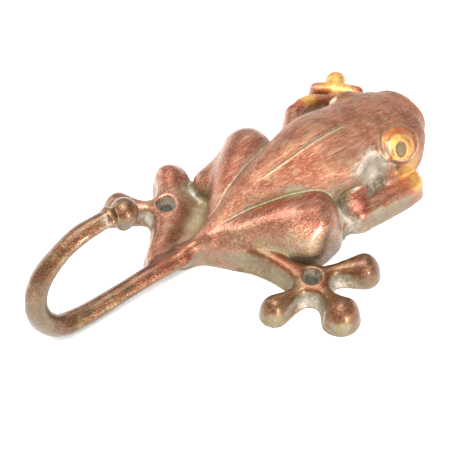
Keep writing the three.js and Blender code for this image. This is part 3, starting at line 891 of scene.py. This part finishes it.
def rubbed_metal(patina, zone, strokes, metal, second, bright):
    """The colour of the bare metal: clouds of two tones, streaked by the brush and gilt in places."""
    grit, brushed, streaks = strokes
    colour = patina.mix(patina.ramp(patina.noise(7, 4, 0.65), 0.42, 0.62), metal, second)
    tinge = patina.ramp(patina.noise(8, 4, 0.65), 0.48, 0.66)
    colour = patina.mix(patina.scaled(tinge, 0.4), colour, MOSS)
    colour = patina.mix(patina.scaled(zone["ruddy"], 0.7), colour, RUDDY)
    colour = patina.mix(patina.scaled(zone["sooty"], 0.7), colour, UMBER)
    colour = patina.mix(patina.scaled(patina.ramp(streaks, 0.52, 0.7), 0.45), colour, bright)
    colour = patina.mix(patina.scaled(patina.ramp(streaks, 0.48, 0.3), 0.45), colour, UMBER)
    colour = patina.mix(patina.scaled(patina.ramp(brushed, 0.5, 0.7), 0.35), colour, bright)
    colour = patina.mix(patina.scaled(patina.ramp(brushed, 0.48, 0.3), 0.4), colour, UMBER)
    colour = patina.mix(patina.scaled(patina.ramp(grit, 0.42, 0.25), 0.5), colour, UMBER)
    gold = patina.add(patina.measure("gilt"), patina.noise(2.5, 3, 0.6))
    glow = patina.mix(patina.ramp(gold, 1.0, 1.45), ORANGE, GOLD)
    return patina.mix(patina.scaled(zone["gilt"], 0.85), colour, glow)


def grime_amount(patina, zone):
    """How much dirt there is, from 0 to 1: more in hollows and grooves, on walls and at their feet."""
    sunk = patina.ramp(patina.measure("dip"), -0.1, 0.6)
    wall = patina.scaled(patina.ramp(patina.measure("up"), 0.7, 0.05), 0.6)
    blotch = patina.scaled(patina.noise(3.0, 5, 0.75), 1.6, -0.8)
    groove = patina.scaled(patina.measure("crease"), 1.5)
    shares = {"mossy": 0.8, "chalky": 1.0, "gilt": -1.5, "ruddy": -0.4}
    tinted_more = patina.add(*(patina.scaled(zone[tint], share) for tint, share in shares.items()))
    grime = patina.add(sunk, wall, blotch, groove, tinted_more, patina.measure("low"))
    return patina.ramp(grime, 0.2, 1.15)


def grime_colour(patina, zone, grit, dirt):
    """The colour of the dirt: olive and grey, with chalky specks and brown dots."""
    stain = patina.mix(patina.ramp(patina.noise(5, 3), 0.42, 0.58), OLIVE, dirt)
    stain = patina.mix(patina.scaled(zone["mossy"], 0.7), stain, MOSS)
    stain = patina.mix(patina.scaled(zone["chalky"], 0.7), stain, VERDIGRIS)
    speck = patina.ramp(patina.add(patina.noise(1.4, 4, 0.7), patina.scaled(zone["chalky"], 0.4)), 0.5, 0.9)
    stain = patina.mix(speck, stain, CHALK)
    dots = patina.ramp(patina.add(grit, patina.scaled(zone["chalky"], 0.2)), 0.45, 0.25)
    return patina.mix(patina.scaled(dots, 0.7), stain, BROWN)


def worn_metal(name, marks, metal, second, bright, dirt, dullness):
    """Brushed metal, dull in its hollows and on its walls, lighter on sharp edges, with painted shade and
    painted highlights.
    """
    patina = Patina(name)
    mottle = patina.scaled(patina.noise(2.2, 3, 0.7), 1.2, -0.6)
    grit = patina.noise(0.7, 3, 0.7)
    brushed = patina.noise(0.5, 2, 0.6, (12, 1, 1), marks, 0.4)
    crossed = patina.noise(0.6, 2, 0.6, (10, 1, 1), marks + CROSSING, 0.4)
    streaks = patina.noise(1.3, 4, 0.65, (8, 1, 1), marks, 0.6)
    zone = {tint: patina.ramp(patina.add(patina.measure(tint), mottle), -0.1, 1.1) for tint in TINTS}

    colour = rubbed_metal(patina, zone, (grit, brushed, streaks), metal, second, bright)
    grime = grime_amount(patina, zone)
    colour = patina.mix(patina.scaled(grime, 0.85), colour, grime_colour(patina, zone, grit, dirt))
    edge = patina.ramp(patina.measure("crease"), -0.1, -0.35)
    colour = patina.mix(patina.scaled(edge, 0.5), colour, bright)
    # Painted shade on walls: the steeper the surface, the more it is darkened toward slate.
    wall_shade = patina.ramp(patina.measure("up"), 0.5, -0.1)
    colour = patina.mix(patina.scaled(wall_shade, 0.4), colour, SHADE_SLATE)
    # Pale lines where castings meet, and painted highlights on the spine's lip, round the eyes and on the
    # screw holes' rims.
    pale = patina.ramp(patina.add(patina.measure("line"), patina.scaled(mottle, 0.5)), 0.2, 0.9)
    colour = patina.mix(patina.scaled(pale, 0.75), colour, STRAW)
    # Painted shade from the shade measure: darkened pupils, shade under the brow and the depths of the screw
    # holes.
    colour = patina.mix(patina.scaled(patina.measure("shade"), 0.5), colour, SHADE_SLATE)

    patina.give(patina.shader.inputs["Base Color"], colour)
    patina.shader.inputs["Metallic"].default_value = METALLIC
    patina.shader.inputs["Coat Weight"].default_value = COAT - 2 * dullness
    patina.shader.inputs["Coat Roughness"].default_value = COAT_ROUGHNESS
    rough = patina.add(patina.scaled(grime, 0.2), patina.scaled(grit, 0.3), POLISH + dullness)
    patina.give(patina.shader.inputs["Roughness"], rough)
    fine = patina.bump(patina.add(brushed, crossed, streaks), BRUSH_DEPTH)
    patina.give(patina.shader.inputs["Normal"], patina.bump(grit, GRIT_DEPTH, fine))
    return patina.material


def trunk_patina(name, marks):
    return worn_metal(name, marks, COPPER, RUSSET, ROSE, VERDIGRIS, 0.2)


def leg_patina(name, marks):
    """The hind legs and the left foot."""
    return worn_metal(name, marks, COPPER, RUSSET, ROSE, VERDIGRIS, 0.0)


def right_foot_patina(name, marks):
    return worn_metal(name, marks, RUST, BROWN, TAN, VERDIGRIS, 0.05)


def foreleg_patina(name, marks):
    return worn_metal(name, marks, COPPER, RUDDY, ROSE, VERDIGRIS, 0.0)


def hook_bronze(name, marks):
    return worn_metal(name, marks, RUST, BRONZE, TAN, OLIVE, 0.0)


PATINAS = {
    "trunk": trunk_patina, "right_hind_leg": leg_patina, "left_hind_leg": leg_patina,
    "right_hind_foot": right_foot_patina, "left_hind_foot": leg_patina,
    "right_foreleg": foreleg_patina, "left_foreleg": foreleg_patina,
    "hook": hook_bronze, "ball": hook_bronze,
}

# ---------------------------------------------------------------- table, light and camera

# Each lamp: its place and its size in metres, and its power in watts.
LAMPS = {
    "key": ((-0.2, -0.1, 1.0), 0.9, 14.5),
    "front": ((-0.03, -0.95, 0.12), 0.18, 6),
    "back": ((-0.45, 0.85, 0.25), 0.7, 3.5),
    "head": ((0.5, 0.5, 0.75), 0.8, 1.8),
}
ROOM_LIGHT, FLOOR_GLOW = 0.55, 0.15
FLOOR_SIZE, FLOOR_DROP = 6, 0.0003
LENS, SENSOR = 120, 36               # millimetres


def floor():
    """A plain pale floor, just under the casting's flat back."""
    bpy.ops.mesh.primitive_plane_add(size=FLOOR_SIZE, location=(0, 0, -FLOOR_DROP))
    plane = bpy.context.object
    plane.name = "floor"
    material = bpy.data.materials.new("floor")
    material.use_nodes = True
    shader = material.node_tree.nodes["Principled BSDF"]
    shader.inputs["Base Color"].default_value = (1, 1, 1, 1)
    shader.inputs["Roughness"].default_value = 0.9
    shader.inputs["Emission Color"].default_value = (1, 1, 1, 1)
    shader.inputs["Emission Strength"].default_value = FLOOR_GLOW
    plane.data.materials.append(material)


def soft_light(name, place, size, power):
    """A square studio lamp aimed at the frog."""
    data = bpy.data.lights.new(name, "AREA")
    data.size = size
    data.energy = power
    lamp = bpy.data.objects.new(name, data)
    lamp.location = place
    lamp.rotation_euler = (-Vector(place)).to_track_quat("-Z", "Y").to_euler()
    bpy.context.scene.collection.objects.link(lamp)


def camera():
    """The photograph's viewpoint: from the frog's right and a little behind, looking down at 51 degrees."""
    azimuth, elevation = math.radians(CAMERA_AZIMUTH), math.radians(CAMERA_ELEVATION)
    forward = Vector((-math.sin(azimuth) * math.cos(elevation), math.cos(azimuth) * math.cos(elevation),
                      -math.sin(elevation)))
    data = bpy.data.cameras.new("camera")
    data.sensor_width = SENSOR
    data.lens = LENS
    data.shift_x, data.shift_y = CAMERA_SHIFT
    data.clip_start, data.clip_end = 0.01, 20
    eye = bpy.data.objects.new("camera", data)
    eye.location = (Vector(CAMERA_TARGET) + Vector(SHIFT)) * MM - forward * CAMERA_DISTANCE
    eye.rotation_euler = forward.to_track_quat("-Z", "Y").to_euler()
    bpy.context.scene.collection.objects.link(eye)
    bpy.context.scene.camera = eye


def white_room():
    """The even white light from all round."""
    world = bpy.data.worlds.new("studio")
    bpy.context.scene.world = world
    world.use_nodes = True
    background = world.node_tree.nodes["Background"]
    background.inputs["Color"].default_value = (1, 1, 1, 1)
    background.inputs["Strength"].default_value = ROOM_LIGHT
    bpy.context.scene.view_settings.view_transform = "Standard"


for casting_name in CASTINGS:
    made_piece(casting_name)
floor()
for lamp_name, (lamp_at, lamp_size, lamp_power) in LAMPS.items():
    soft_light(lamp_name, lamp_at, lamp_size, lamp_power)
white_room()
camera()
